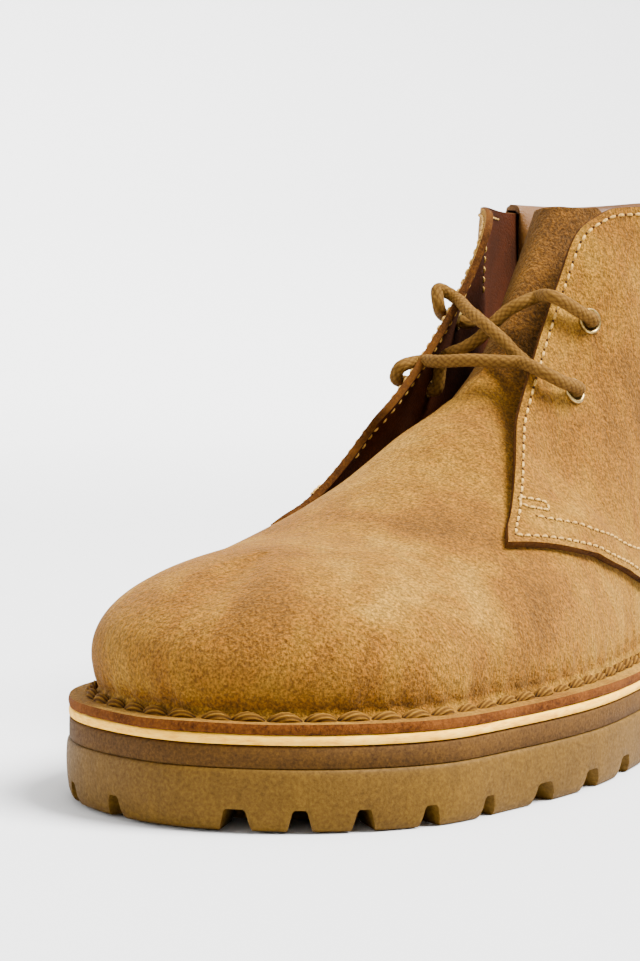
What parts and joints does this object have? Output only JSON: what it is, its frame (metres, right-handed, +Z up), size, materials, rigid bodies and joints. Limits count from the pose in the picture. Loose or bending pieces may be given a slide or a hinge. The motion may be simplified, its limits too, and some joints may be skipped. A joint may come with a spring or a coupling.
{
  "type": "chukka boot",
  "caption": "Left chukka boot in tan suede, with a stitched-down flange, a padded leather collar, laces in brass eyelets and a lugged rubber sole.",
  "frame": {"origin": "on the floor, under the middle of the sole's outline", "axes": "+X towards the toe, +Y towards the outer side of this left boot, +Z up"},
  "size_m": [0.3034, 0.1092, 0.1376],
  "materials": {
    "tan_rubber": "matt moulded rubber",
    "dark_rubber": "matt dark brown rubber",
    "pale_leather": "natural cut edge",
    "suede": "napped suede",
    "lining_leather": "smooth lining",
    "collar_leather": "smooth, lightly polished",
    "lace_cord": "braided waxed cotton",
    "antique_brass": "dark antique"
  },
  "bodies": {
    "root": {"outsole": "tan_rubber", "midsole": "dark_rubber", "leather_midsole": "pale_leather", "upper": "suede", "tongue": "suede", "insole": "lining_leather", "collar_pad": "collar_leather", "lace_bar": "lace_cord", "lace_cross": "lace_cord", "eyelet_1": "antique_brass", "eyelet_2": "antique_brass", "eyelet_3": "antique_brass", "eyelet_4": "antique_brass"}
  },
  "joints": []
}
